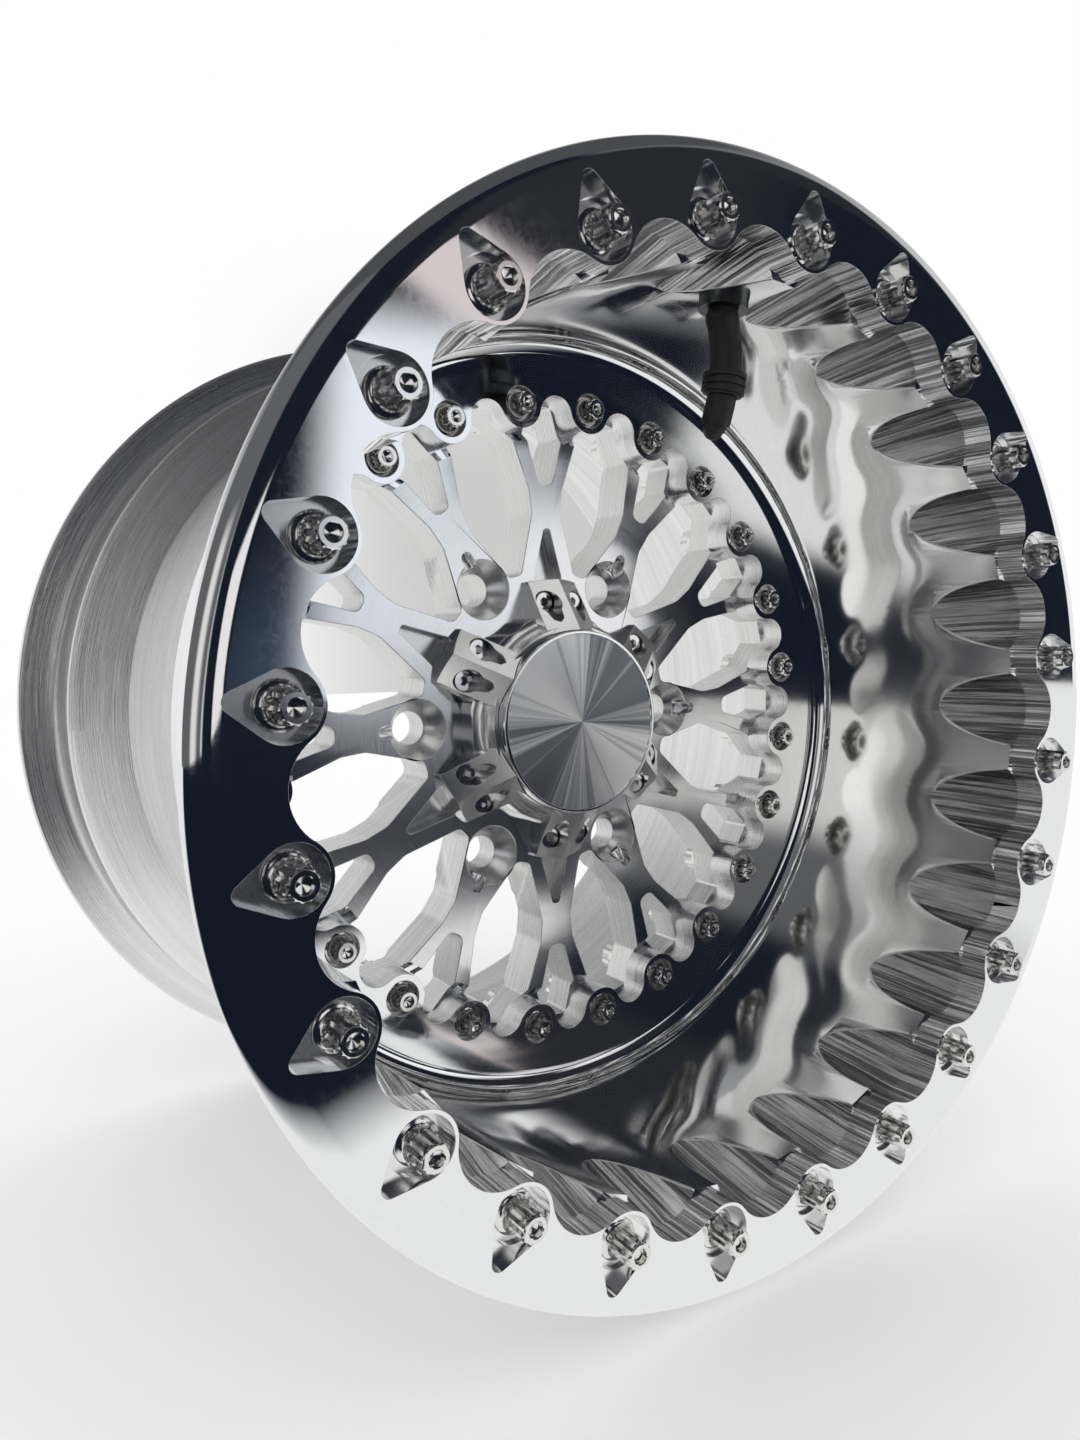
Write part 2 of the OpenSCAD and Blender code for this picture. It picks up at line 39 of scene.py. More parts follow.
print("frame loaded:", len(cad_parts), "nodes")


# Camera: a wide lens close to the left of the wheel, a little above its axle

cameraPlace = {
    "azimuth": -46.42,      # degrees round the axle's vertical, seen from the front
    "elevation": 6.35,
    "distance": 380.6,      # mm from the point it turns about
    "aimDepth": 172,        # mm that this point lies in front of the mounting face
    "pan": -13.17,          # degrees the view is turned and tilted from that point
    "tilt": 1.22,
    "roll": -0.075,
    "lens": 26.16,
    "clipStart": 0.01,
}


def makeCamera(place):
    az, el, pan, tilt, roll = (math.radians(place[name]) for name in (
        "azimuth", "elevation", "pan", "tilt", "roll"))
    back = Vector((math.sin(az) * math.cos(el), -math.cos(az) * math.cos(el), math.sin(el)))
    ahead = -back
    side = ahead.cross(Vector((0, 0, 1))).normalized()
    up = side.cross(ahead)
    side, up = (math.cos(roll) * side + math.sin(roll) * up,
                math.cos(roll) * up - math.sin(roll) * side)
    look = (ahead * math.cos(pan) + side * math.sin(pan)) * math.cos(tilt) + up * math.sin(tilt)
    right = look.cross(up).normalized()
    top = right.cross(look)
    spot = back * place["distance"] * mm - Vector((0, place["aimDepth"] * mm, 0))
    data = bpy.data.cameras.new("camera")
    data.lens = place["lens"]
    data.clip_start = place["clipStart"]
    camera = bpy.data.objects.new("camera", data)
    bpy.context.scene.collection.objects.link(camera)
    camera.matrix_world = Matrix((
        (right.x, top.x, -look.x, spot.x),
        (right.y, top.y, -look.y, spot.y),
        (right.z, top.z, -look.z, spot.z),
        (0, 0, 0, 1)))
    bpy.context.scene.camera = camera


makeCamera(cameraPlace)
print("camera placed")


# Small helpers for node trees. A node's value is a number, a colour or another node's output

def addNode(tree, kind, values=None, **settings):
    made = tree.nodes.new(kind)
    for name, value in settings.items():
        setattr(made, name, value)
    for name, value in (values or {}).items():
        if isinstance(value, bpy.types.NodeSocket):
            tree.links.new(value, made.inputs[name])
        else:
            made.inputs[name].default_value = value
    return made


def mathNode(tree, operation, *values):
    return addNode(tree, "ShaderNodeMath", dict(enumerate(values)),
                   operation=operation).outputs[0]


def distanceTo(tree, across, up):
    squares = [mathNode(tree, "MULTIPLY", side, side) for side in (across, up)]
    return mathNode(tree, "SQRT", mathNode(tree, "ADD", *squares))


def noise(tree, vector, **values):
    return addNode(tree, "ShaderNodeTexNoise", {"Vector": vector, **values}).outputs["Fac"]


def newGroup(name, outputs, **inputs):
    group = bpy.data.node_groups.new(name, "ShaderNodeTree")
    for label, start in inputs.items():
        group.interface.new_socket(label, in_out="INPUT",
                                   socket_type="NodeSocketFloat").default_value = start
    for label in outputs:
        group.interface.new_socket(label, in_out="OUTPUT", socket_type="NodeSocketFloat")
    return group, addNode(group, "NodeGroupInput").outputs


def closeGroup(group, **outputs):
    addNode(group, "NodeGroupOutput", outputs)
    return group


def useGroup(tree, group, **values):
    return addNode(tree, "ShaderNodeGroup", values, node_tree=group).outputs


def spread(tree, value, low, high, fromLow=0.3, fromHigh=0.7):
    # fits a value's range to another one
    return addNode(tree, "ShaderNodeMapRange", {
        "Value": value, "From Min": fromLow, "From Max": fromHigh, "To Min": low,
        "To Max": high}).outputs["Result"]


def mixColours(tree, factor, first, second):
    return addNode(tree, "ShaderNodeMix", {"Factor": factor, "A": first, "B": second},
                   data_type="RGBA").outputs["Result"]


def mixShaders(tree, factor, first, second):
    return addNode(tree, "ShaderNodeMixShader", {0: factor, 1: first, 2: second}).outputs[0]


# Shared effects. They read the piece's own coordinates, where Y runs along the axle

def roundAxle(tree):
    # radius and angle round the axle, and depth along it
    split = addNode(tree, "ShaderNodeSeparateXYZ", {
        "Vector": addNode(tree, "ShaderNodeTexCoord").outputs["Object"]})
    x, depth, z = split.outputs
    return distanceTo(tree, x, z), depth, mathNode(tree, "ARCTAN2", z, x)


def turnedGroup():
    # lines that run round the axle: they change fast with radius and depth, slowly with angle
    group, entry = newGroup("turned lines", ["Lines", "Bands"], Density=1800.0, Wander=1.5)
    radius, depth, angle = roundAxle(group)
    join = addNode(group, "ShaderNodeCombineXYZ", {
        "X": mathNode(group, "MULTIPLY", radius, entry["Density"]),
        "Y": mathNode(group, "MULTIPLY", depth, entry["Density"]),
        "Z": mathNode(group, "MULTIPLY", angle, entry["Wander"])}).outputs[0]
    return closeGroup(group, Lines=noise(group, join, Scale=1.0, Detail=3.0, Roughness=0.6),
                      Bands=noise(group, join, Scale=0.06, Detail=2.0))


def polishGroup():
    # faint buffing: a slow wave in the surface, and haze with hairline marks
    group, entry = newGroup("buffed", ["Wave", "Haze"], Wave=14.0, Marks=220.0)
    place = addNode(group, "ShaderNodeTexCoord").outputs["Object"]
    return closeGroup(
        group, Wave=noise(group, place, Scale=entry["Wave"], Detail=1.0, Roughness=0.4),
        Haze=noise(group, place, Scale=entry["Marks"], Detail=6.0, Roughness=0.7,
                   Distortion=1.5))


def millingGroup():
    # cutter marks: "Along" runs with the axle, "Layers" lies in steps square to it
    group, entry = newGroup("milling marks", ["Along", "Layers"], Density=900.0)
    radius, depth, angle = roundAxle(group)
    arc = mathNode(group, "MULTIPLY", angle, 0.17)
    along = addNode(group, "ShaderNodeCombineXYZ", {
        "X": mathNode(group, "MULTIPLY", arc, entry["Density"]),
        "Y": mathNode(group, "MULTIPLY", depth, 9.0),
        "Z": mathNode(group, "MULTIPLY", radius, 60.0)}).outputs[0]
    layers = addNode(group, "ShaderNodeCombineXYZ", {
        "X": mathNode(group, "MULTIPLY", angle, 3.0),
        "Y": mathNode(group, "MULTIPLY", depth, entry["Density"])}).outputs[0]
    return closeGroup(group, Along=noise(group, along, Scale=1.0, Detail=2.0, Roughness=0.55),
                      Layers=noise(group, layers, Scale=1.0, Detail=2.5, Roughness=0.6))


def paintedSheenGroup():
    # painted highlight of a faced disc: two pale fans across from each other, broken by finer
    # rays, fixed at their angles round the axle
    group, entry = newGroup("fans", ["Fans"], Turn=135.0, Rays=4.0)
    radius, depth, angle = roundAxle(group)
    turned = mathNode(group, "SUBTRACT", angle, mathNode(group, "RADIANS", entry["Turn"]))
    pair = mathNode(group, "COSINE", mathNode(group, "MULTIPLY", turned, 2.0))
    outward = addNode(group, "ShaderNodeCombineXYZ", {
        "X": mathNode(group, "COSINE", angle), "Y": mathNode(group, "SINE", angle)}).outputs[0]
    rays = noise(group, outward, Scale=entry["Rays"], Detail=3.0, Roughness=0.65)
    return closeGroup(group, Fans=mathNode(group, "ADD", mathNode(group, "MULTIPLY", pair, 0.2),
                                           rays))


turnedLines, buffed = turnedGroup(), polishGroup()
millingMarks, paintedSheenFans = millingGroup(), paintedSheenGroup()


# Materials

def newMaterial(name, metallic=1.0, anisotropic=0.0):
    material = bpy.data.materials.new(name)
    material.use_nodes = True
    tree = material.node_tree
    tree.nodes.clear()
    shader = addNode(tree, "ShaderNodeBsdfPrincipled", {"Metallic": metallic})
    if anisotropic:
        # fine turning marks stretch the highlights away from the axle, in fans
        shader.inputs["Anisotropic"].default_value = anisotropic
        tangent = addNode(tree, "ShaderNodeTangent", direction_type="RADIAL", axis="Y")
        tree.links.new(tangent.outputs[0], shader.inputs["Tangent"])
    addNode(tree, "ShaderNodeOutputMaterial", {"Surface": shader.outputs[0]})
    return material, tree, shader


def tinted(tree, shader, mask, first, second):
    tree.links.new(mixColours(tree, mask, (*first, 1), (*second, 1)),
                   shader.inputs["Base Color"])


def roughened(tree, shader, mask, low, high):
    tree.links.new(spread(tree, mask, low, high), shader.inputs["Roughness"])


def bumpFrom(tree, shader, height, strength, depth):
    bump = addNode(tree, "ShaderNodeBump", {"Strength": strength, "Distance": depth * mm,
                                            "Height": height})
    tree.links.new(bump.outputs[0], shader.inputs["Normal"])


def mirrorAluminium():
    material, tree, shader = newMaterial("mirror aluminium")
    polish = useGroup(tree, buffed, Wave=9.0, Marks=240.0)
    tinted(tree, shader, polish["Haze"], (0.86, 0.87, 0.885), (0.94, 0.943, 0.95))
    roughened(tree, shader, polish["Haze"], 0.03, 0.08)
    bumpFrom(tree, shader, polish["Wave"], 0.16, 4.0)
    return material


def facedAluminium():
    # faced on a lathe, then polished: a mirror with the lathe's fans in it
    material, tree, shader = newMaterial("faced aluminium", anisotropic=0.8)
    polish = useGroup(tree, buffed, Wave=11.0, Marks=240.0)
    turned = useGroup(tree, turnedLines, Density=3000.0, Wander=1.5)
    tinted(tree, shader, polish["Haze"], (0.85, 0.857, 0.87), (0.94, 0.943, 0.95))
    roughened(tree, shader, turned["Lines"], 0.12, 0.18)
    bumpFrom(tree, shader, polish["Wave"], 0.12, 4.0)
    return material


def barrelAluminium():
    # the inside of the barrel: polished by hand, so its reflections wander and streak
    material, tree, shader = newMaterial("barrel aluminium")
    polish = useGroup(tree, buffed, Wave=16.0, Marks=160.0)
    turned = useGroup(tree, turnedLines, Density=420.0, Wander=1.2)
    tinted(tree, shader, polish["Haze"], (0.82, 0.82, 0.81), (0.93, 0.93, 0.925))
    roughened(tree, shader, turned["Bands"], 0.05, 0.15)
    streaks = mathNode(tree, "MULTIPLY", turned["Bands"], 0.35)
    bumpFrom(tree, shader, mathNode(tree, "ADD", polish["Wave"], streaks), 0.2, 2.6)
    return material


def flutedAluminium():
    # cut along the axle by the flank of a mill
    material, tree, shader = newMaterial("fluted aluminium")
    marks = useGroup(tree, millingMarks, Density=700.0)
    tinted(tree, shader, spread(tree, marks["Along"], 0.0, 1.0, 0.4, 0.53),
           (0.3, 0.303, 0.31), (1.0, 1.0, 1.0))
    roughened(tree, shader, marks["Along"], 0.24, 0.1)
    bumpFrom(tree, shader, marks["Along"], 0.7, 0.8)
    return material


def milledAluminium():
    # cut in steps down a wall
    material, tree, shader = newMaterial("milled aluminium")
    marks = useGroup(tree, millingMarks, Density=1400.0)
    tinted(tree, shader, spread(tree, marks["Layers"], 0.0, 1.0), (0.62, 0.62, 0.61),
           (0.9, 0.9, 0.895))
    roughened(tree, shader, marks["Layers"], 0.2, 0.34)
    bumpFrom(tree, shader, marks["Layers"], 0.3, 0.5)
    return material


def rawAluminium():
    material, tree, shader = newMaterial("raw aluminium", anisotropic=0.75)
    turned = useGroup(tree, turnedLines, Density=2600.0, Wander=2.0)
    tinted(tree, shader, turned["Bands"], (0.66, 0.66, 0.66), (0.98, 0.98, 0.98))
    roughened(tree, shader, turned["Lines"], 0.2, 0.36)
    bumpFrom(tree, shader, turned["Lines"], 0.35, 0.4)
    return material


def discAluminium():
    material, tree, shader = newMaterial("turned disc", anisotropic=0.96)
    turned = useGroup(tree, turnedLines, Density=5200.0, Wander=1.0)
    # painted sheen and shade: the fans turn the base colour white at two fixed angles and dark
    # between them
    paintedSheen = useGroup(tree, paintedSheenFans, Turn=128.0, Rays=5.0)
    tinted(tree, shader, spread(tree, paintedSheen["Fans"], 0.0, 1.0, 0.38, 0.6),
           (0.22, 0.235, 0.255), (1.0, 1.0, 1.0))
    roughened(tree, shader, turned["Lines"], 0.28, 0.33)
    return material


def satinAluminium():
    # milled, then only lightly polished
    material, tree, shader = newMaterial("satin aluminium")
    polish = useGroup(tree, buffed, Wave=40.0, Marks=700.0)
    tinted(tree, shader, polish["Haze"], (0.93, 0.928, 0.92), (0.98, 0.98, 0.975))
    roughened(tree, shader, polish["Haze"], 0.2, 0.26)
    bumpFrom(tree, shader, polish["Wave"], 0.12, 1.0)
    return material


def smallMetal(name, first, second, smoothest, roughest):
    # plated or plain metal of the small parts
    material, tree, shader = newMaterial(name)
    haze = useGroup(tree, buffed, Wave=60.0, Marks=900.0)["Haze"]
    tinted(tree, shader, haze, first, second)
    roughened(tree, shader, haze, smoothest, roughest)
    return material


def blackRubber():
    material, tree, shader = newMaterial("black rubber", metallic=0.0)
    haze = useGroup(tree, buffed, Wave=60.0, Marks=700.0)["Haze"]
    tinted(tree, shader, haze, (0.008, 0.008, 0.009), (0.02, 0.02, 0.022))
    roughened(tree, shader, haze, 0.38, 0.6)
    bumpFrom(tree, shader, haze, 0.2, 0.3)
    return material


mirror, faced, satin = mirrorAluminium(), facedAluminium(), satinAluminium()
fluted, milled = flutedAluminium(), milledAluminium()
barrelPolish, raw, disc = barrelAluminium(), rawAluminium(), discAluminium()
steel = smallMetal("plated steel", (0.74, 0.73, 0.71), (0.9, 0.89, 0.875), 0.07, 0.16)
blackSteel = smallMetal("dark steel", (0.09, 0.1, 0.105), (0.2, 0.21, 0.215), 0.25, 0.4)
brass = smallMetal("valve brass", (0.6, 0.43, 0.17), (0.78, 0.6, 0.3), 0.2, 0.35)
rubber = blackRubber()
print("materials made")

# the nodes that are shown as they are
nodeFinish = {
    "beadlock_inserts": blackSteel, "assembly_nuts": steel, "assembly_washers": steel,
    "cap_seal": rubber, "barrel_seal": rubber, "valve_core": brass,
    "valve_stem": rubber, "valve_seal": rubber, "valve_nut": blackSteel,
    "valve_collar": rubber, "valve_cap": rubber, "cap_screws": steel,
}
for name, finish in nodeFinish.items():
    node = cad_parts[name]
    node.data.materials.clear()
    node.data.materials.append(finish)


# Ways to shape a piece. A profile is a list of (radius, height over the mounting face) in mm

weldGap = 0.000001      # metres under which points are one


def spinProfile(points, steps):
    made = bmesh.new()
    verts = [made.verts.new((r * mm, -h * mm, 0)) for r, h in points]
    edges = [made.edges.new(pair) for pair in zip(verts, verts[1:] + verts[:1])]
    bmesh.ops.spin(made, geom=verts + edges, cent=(0, 0, 0), axis=(0, 1, 0), dvec=(0, 0, 0),
                   angle=math.tau, steps=steps, use_merge=True, use_normal_flip=False,
                   use_duplicate=False)
    bmesh.ops.remove_doubles(made, verts=made.verts, dist=weldGap)
    bmesh.ops.recalc_face_normals(made, faces=made.faces)
    return made


def bend(centre, radii, start, end, count):
    # points of a rounded corner of a profile
    for i in range(count + 1):
        a = math.radians(start + (end - start) * i / count)
        yield (centre[0] + radii[0] * math.cos(a), centre[1] + radii[1] * math.sin(a))


def raised(points, height):
    # the same points of a profile, higher by so much
    return [(r, h + height) for r, h in points]


def around(made, count=24, first=7.5):
    # turns the piece to its first place, then repeats it round the axle
    bmesh.ops.rotate(made, verts=made.verts, cent=(0, 0, 0),
                     matrix=Matrix.Rotation(-math.radians(first), 3, "Y"))
    bmesh.ops.spin(made, geom=made.verts[:] + made.edges[:] + made.faces[:], cent=(0, 0, 0),
                   axis=(0, 1, 0), dvec=(0, 0, 0), angle=math.tau * (count - 1) / count,
                   steps=count - 1, use_merge=False, use_duplicate=True)
    return made


def post(at, low, high, radius):
    # a round post along the axle, its middle at a radius, between two heights
    made = bmesh.new()
    turn = (Matrix.Translation((at * mm, -(low + high) / 2 * mm, 0)) @
            Matrix.Rotation(math.radians(90), 4, "X"))
    bmesh.ops.create_cone(made, cap_ends=True, segments=48, radius1=radius * mm,
                          radius2=radius * mm, depth=(high - low) * mm, matrix=turn)
    return made


def prism(outline, low, high):
    # a flat outline of (x, z) points in mm, given a height along the axle
    made = bmesh.new()
    face = made.faces.new([made.verts.new((x * mm, -low * mm, z * mm)) for x, z in outline])
    grown = bmesh.ops.extrude_face_region(made, geom=[face])["geom"]
    bmesh.ops.translate(made, vec=(0, (low - high) * mm, 0),
                        verts=[v for v in grown if isinstance(v, bmesh.types.BMVert)])
    bmesh.ops.recalc_face_normals(made, faces=made.faces)
    return made


def scallops(s, count=24, steps=16):
    # outline of arches between the bolts and of lobes round them, tangent to each other
    archAt, boltAt, archRadius = s["archCircle"], s["boltCircle"], s["archRadius"]
    half = math.pi / count
    toBolt = Vector((boltAt * math.cos(half) - archAt, boltAt * math.sin(half)))
    toArch = Vector((archAt * math.cos(half) - boltAt, archAt * math.sin(half)))
    lobeRadius = toBolt.length - archRadius
    archTurn = math.atan2(toBolt.y, toBolt.x)
    lobeTurn = math.pi - math.atan2(toArch.y, toArch.x)
    outline = []
    for k in range(count):
        for at, reach, middle, turn, inward in (
                (archAt, archRadius, 2 * k * half, archTurn, 0),
                (boltAt, lobeRadius, (2 * k + 1) * half, -lobeTurn, math.pi)):
            for i in range(steps):
                a = middle + inward + turn * (2 * i / steps - 1)
                outline.append((at * math.cos(middle) + reach * math.cos(a),
                                at * math.sin(middle) + reach * math.sin(a)))
    return outline


def loose(made, name):
    mesh = bpy.data.meshes.new(name)
    made.to_mesh(mesh)
    made.free()
    thing = bpy.data.objects.new(name, mesh)
    bpy.context.scene.collection.objects.link(thing)
    return thing


def carve(made, *cutters):
    # takes the cutters out of a piece, one after the other
    body = loose(made, "body")
    tools = [loose(cutter, "cutter") for cutter in cutters]
    for tool in tools:
        cut = body.modifiers.new("cut", "BOOLEAN")
        cut.operation = "DIFFERENCE"
        cut.solver = "EXACT"
        cut.object = tool
    cutMesh = bpy.data.meshes.new_from_object(
        body.evaluated_get(bpy.context.evaluated_depsgraph_get()))
    result = bmesh.new()
    result.from_mesh(cutMesh)
    for thing in [body] + tools:
        mesh = thing.data
        bpy.data.objects.remove(thing)
        bpy.data.meshes.remove(mesh)
    bpy.data.meshes.remove(cutMesh)
    bmesh.ops.remove_doubles(result, verts=result.verts, dist=2 * weldGap)
    return result


def mergedCopy(nodeName):
    made = bmesh.new()
    made.from_mesh(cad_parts[nodeName].data)
    bmesh.ops.remove_doubles(made, verts=made.verts, dist=4 * weldGap)
    bmesh.ops.dissolve_limit(made, angle_limit=math.radians(0.3), verts=made.verts,
                             edges=made.edges)
    return made


def roundEdges(made, width, segments, wanted, slot, sharper=50, clamp=True):
    # rounds the edges that a test picks, and gives the new faces one of the piece's materials
    picked = [e for e in made.edges if e.is_manifold and
              e.calc_face_angle() > math.radians(sharper) and wanted(e)]
    rounded = bmesh.ops.bevel(made, geom=picked, affect="EDGES", offset=width * mm,
                              segments=segments, profile=0.5, material=-1, clamp_overlap=clamp)
    for face in rounded["faces"]:
        face.material_index = slot


def onPlane(height, reach=0.05):
    # picks the edges that lie at one height over the mounting face
    def test(edge):
        return all(abs(v.co.y + height * mm) < reach * mm for v in edge.verts)
    return test


def radiusOf(point):
    return math.hypot(point.x, point.z) / mm


def paint(made, slot, wanted):
    # gives the faces that a test picks one of the piece's materials
    for face in made.faces:
        centre = face.calc_center_median()
        if wanted(face, radiusOf(centre), -centre.y / mm):
            face.material_index = slot


def finishPiece(made, name, materials, replaces, smoothUnder=32):
    mesh = bpy.data.meshes.new(name)
    made.to_mesh(mesh)
    made.free()
    mesh.shade_smooth()
    mesh.set_sharp_from_angle(angle=math.radians(smoothUnder))
    for material in materials:
        mesh.materials.append(material)
    piece = bpy.data.objects.new(name, mesh)
    bpy.context.scene.collection.objects.link(piece)
    weigh = piece.modifiers.new("weighted normals", "WEIGHTED_NORMAL")
    weigh.keep_sharp = True
    weigh.weight = 100
    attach(piece, "root")
    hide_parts(replaces)
    print(name, len(mesh.polygons), "faces")


# Locking ring: a polished plate with a rolled outer edge, scallops and teardrop pockets

lockingRing = {
    "back": 152, "front": 164, "innerRadius": 163,
    "backProfile": [(191, 0), (191, -2.5), (196, -2.5), (203, -0.5)],   # heights over the back
    "outerRadius": 206.3, "rollWidth": 10, "rollHeight": 6.5, "rollSteps": 22,
    "boltCircle": 180, "archCircle": 162, "archRadius": 16.995, "archWall": 186,
    "pocketRadius": 10.3, "pocketDepth": 6, "tailGap": 0.08, "tailDepth": 4.5,
    "tailReach": 14.3, "tailSteps": 40, "tipRadius": 3, "tipSteps": 8,
    "rim": 1.0, "rimSegments": 4,
}


def teardrop(s):
    # outline of a pocket: a round end at the bolt and a small tip further out
    wide, at, tip = s["pocketRadius"] + s["tailGap"], s["boltCircle"], s["tipRadius"]
    lean = math.degrees(math.acos((wide - tip) / s["tailReach"]))
    return (list(bend((at, 0), (wide, wide), lean, 360 - lean, s["tailSteps"])) +
            list(bend((at + s["tailReach"], 0), (tip, tip), -lean, lean, s["tipSteps"])))


def makeLockingRing(s):
    back, front, over = s["back"], s["front"], s["front"] + 1
    profile = [(s["innerRadius"], back)] + raised(s["backProfile"], back)
    profile += bend((s["outerRadius"] - s["rollWidth"], front - s["rollHeight"]),
                    (s["rollWidth"], s["rollHeight"]), 0, 90, s["rollSteps"])
    profile += [(s["innerRadius"], front)]
    pocket = post(s["boltCircle"], front - s["pocketDepth"], over, s["pocketRadius"])
    made = carve(spinProfile(profile, 360), prism(scallops(s), back - 1, over), around(pocket),
                 around(prism(teardrop(s), front - s["tailDepth"], over)))
    paint(made, 1, lambda f, r, h: abs(f.normal.y) < 0.3 and r < s["archWall"])
    paint(made, 2, lambda f, r, h: f.normal.y < -0.9 and h < front - 2)
    roundEdges(made, s["rim"], s["rimSegments"], onPlane(front), 0)
    finishPiece(made, "lockingRing", [mirror, fluted, satin], "beadlock_ring",
                20)


makeLockingRing(lockingRing)


# Front barrel: a polished dish with fluted mouth, bead seat, and scalloped inner flange

frontBarrel = {
    "joint": 26.5, "flangeFace": 34.5, "lip": 152, "boreRadius": 128, "wallRadius": 172,
    "spigotRadius": 168.2, "spigotTaper": 13.5, "outerRadius": 178.5, "outerEnd": -40,
    # heights from the lip
    "seatProfile": [(186, -26), (198, -20), (200, -18), (200, -13), (198.5, -11.5),
                    (188.5, -10.5), (188.5, 0)],
    "seatRadius": 188.5, "mouthRadius": 167.8, "mouthEnd": 171.8, "corner": 9,
    "cornerSteps": 20, "fluteRadius": 16.995, "fluteCircle": 162, "fluteLength": 40,
    "fluteSlope": 10.2, "fluteSink": 10, "fluteStock": 80, "fluteSegments": 96,
    "boltCircle": 143.1, "archCircle": 138.5, "archRadius": 8.478,
    "headSink": 4.5, "headSinkRadius": 7.7, "rim": 0.7, "rimSegments": 3, "fluteRim": 0.6,
    "fluteBand": (163, 182), "fluteReach": 46, "sideways": 0.004, "lobeEnd": 152,
}


def fluteCutter(s):
    made = bmesh.new()
    lean = (Matrix.Translation((s["fluteCircle"] * mm, -s["lip"] * mm, 0)) @
            Matrix.Rotation(math.radians(s["fluteSlope"]), 4, "Z") @
            Matrix.Rotation(math.radians(90), 4, "X") @
            Matrix.Translation((0, 0, -s["fluteSink"] * mm)))
    bmesh.ops.create_cone(made, cap_ends=True, segments=s["fluteSegments"],
                          radius1=s["fluteRadius"] * mm, radius2=s["fluteRadius"] * mm,
                          depth=s["fluteStock"] * mm, matrix=lean)
    return made


def makeFrontBarrel(s):
    lip, face, joint, wall = s["lip"], s["flangeFace"], s["joint"], s["wallRadius"]
    corner, nearest, furthest = s["corner"], *s["fluteBand"]
    profile = [(s["boreRadius"], joint), (s["spigotRadius"], joint),
               (s["outerRadius"], joint + s["spigotTaper"]),
               (s["outerRadius"], lip + s["outerEnd"])]
    profile += raised(s["seatProfile"], lip)
    profile += [(s["mouthRadius"], lip), (s["mouthEnd"], lip - s["fluteLength"])]
    profile += bend((wall - corner, face + corner), (corner, corner), 0, -90, s["cornerSteps"])
    profile += [(s["boreRadius"], face)]
    sink = post(s["boltCircle"], face - s["headSink"], face + 1, s["headSinkRadius"])
    made = carve(spinProfile(profile, 360), around(fluteCutter(s), first=0),
                 prism(scallops(s), joint - 1, face + 1), around(sink))

    def isFlute(f, r, h):
        # a face that looks sideways, not at the axle
        at = f.calc_center_median()
        return (h > lip - s["fluteReach"] and nearest < r < furthest and
                abs(f.normal.x * at.z - f.normal.z * at.x) > s["sideways"] * r * mm)

    def isFluteRim(edge):
        return all(s["mouthRadius"] - 1 < radiusOf(v.co) < wall + 0.3 and
                   lip - s["fluteLength"] - 3 < -v.co.y / mm < lip - 0.3 for v in edge.verts)

    paint(made, 1, lambda f, r, h: h > face + 8 and r < s["seatRadius"] - 0.5 and h < lip - 0.1)
    paint(made, 2, isFlute)
    paint(made, 3, lambda f, r, h: r < s["lobeEnd"] and h < face - 0.8)
    roundEdges(made, s["rim"], s["rimSegments"], onPlane(face), 4)
    roundEdges(made, s["fluteRim"], s["rimSegments"], isFluteRim, 4, sharper=12, clamp=False)
    finishPiece(made, "frontBarrel", [mirror, barrelPolish, fluted, milled, satin],
                "front_barrel", 9)


makeFrontBarrel(frontBarrel)


# Rear barrel: raw from the lathe, with its bead seat, hump and rear flange

rearBarrel = {
    "joint": 26.5, "ringFace": 20, "rearEnd": -147, "boreRadius": 128, "outerRadius": 168.2,
    "dropStart": -78, "innerRadius": 162, "innerDrop": -74, "cavityRadius": 183,
    "cavityStart": -100, "mouthTaper": 7, "mouthRadius": 190.5,
    # heights from the rear end
    "flangeEdge": 205.2, "edgeRound": 2, "edgeStart": 2, "edgeEnd": 5, "edgeSteps": 6,
    "flangeFoot": (198.2, 9), "seatCorner": (197.2, 16), "seatBend": (7, 6.2), "bendSteps": 8,
    "seatProfile": [(188.6, 38), (190, 39.6), (190.5, 41.4), (189.8, 43.4), (186.5, 47)],
    "boltCircle": 143.1, "archCircle": 138.5, "archRadius": 8.478,
}


def makeRearBarrel(s):
    end, bore, inside, outside = (s[name] for name in (
        "rearEnd", "boreRadius", "innerRadius", "outerRadius"))
    cavity, edge, turn = s["cavityRadius"], s["flangeEdge"], (s["edgeRound"], s["edgeRound"])
    profile = [(bore, s["ringFace"]), (inside, s["ringFace"]), (inside, s["innerDrop"]),
               (cavity, s["cavityStart"]), (cavity, end + s["mouthTaper"]),
               (s["mouthRadius"], end)]
    profile += bend((edge, end + s["edgeStart"]), turn, -90, 0, s["edgeSteps"])
    profile += bend((edge, end + s["edgeEnd"]), turn, 0, 90, s["edgeSteps"])
    profile += raised([s["flangeFoot"]] + list(bend(
        s["seatCorner"], s["seatBend"], 250, 180, s["bendSteps"])) + s["seatProfile"], end)
    profile += [(outside, s["dropStart"]), (outside, s["joint"]), (bore, s["joint"])]
    made = carve(spinProfile(profile, 288), prism(scallops(s), s["ringFace"] - 1,
                                                  s["joint"] + 1))
    finishPiece(made, "rearBarrel", [raw], "rear_barrel", 25)


makeRearBarrel(rearBarrel)


# Wheel centre: polished faces, chamfered windows, and walls with the cutter's marks

wheelCentre = {"padFace": 24, "ringFace": 20, "chamfer": 1.1, "segments": 2, "pocketEnd": 126,
               "sectors": 6}


